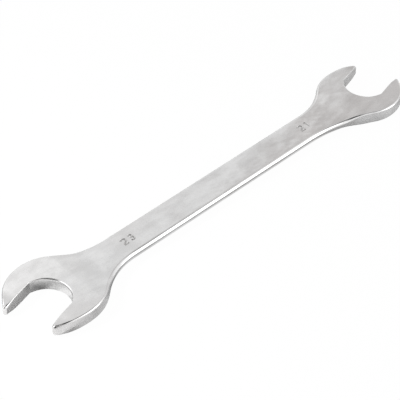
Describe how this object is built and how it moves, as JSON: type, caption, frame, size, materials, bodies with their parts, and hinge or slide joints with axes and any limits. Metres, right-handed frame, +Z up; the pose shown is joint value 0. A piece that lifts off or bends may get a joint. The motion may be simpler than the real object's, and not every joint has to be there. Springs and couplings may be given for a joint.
{
  "type": "open end wrench",
  "caption": "Slim forged hand wrench with an open jaw at each end of a flat straight handle, for turning hexagon nuts and bolt heads.",
  "frame": {"origin": "under the middle of the wrench's box, on the plane that the thicker head rests on", "axes": "+X along the handle to the 21 mm head, +Z up out of the face with the struck numbers"},
  "size_m": [0.2462, 0.0438, 0.0068],
  "materials": {
    "satin_chrome": "satin chrome plate over forged and ground steel"
  },
  "bodies": {
    "root": {"forged_wrench": "satin_chrome"}
  },
  "joints": []
}
